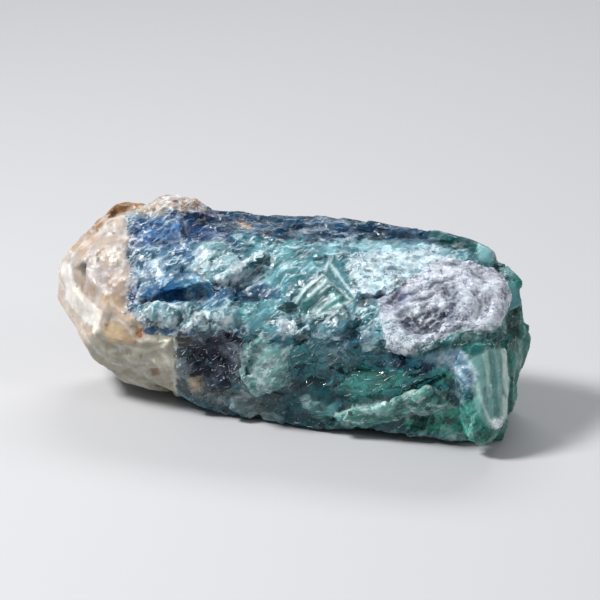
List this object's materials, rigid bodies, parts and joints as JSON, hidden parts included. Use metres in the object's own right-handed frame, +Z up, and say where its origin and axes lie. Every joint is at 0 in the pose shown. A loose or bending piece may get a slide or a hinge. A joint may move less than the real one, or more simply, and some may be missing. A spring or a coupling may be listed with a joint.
{
  "type": "fluorite crystal",
  "caption": "Rough broken piece of blue-green fluorite with cleavage steps, a frosted patch and a rounded cream-coloured end, lying on its side.",
  "frame": {"origin": "middle of the box round the stone in X and Y, on the surface that it rests on", "axes": "+X along the stone from the cream end to the broken end, +Z up, the side that the picture shows faces -Y"},
  "size_m": [0.0802, 0.0322, 0.032],
  "materials": {
    "fluorite": "clear blue-green crystal, broken faces"
  },
  "bodies": {
    "root": {"fluorite": "fluorite"}
  },
  "joints": []
}
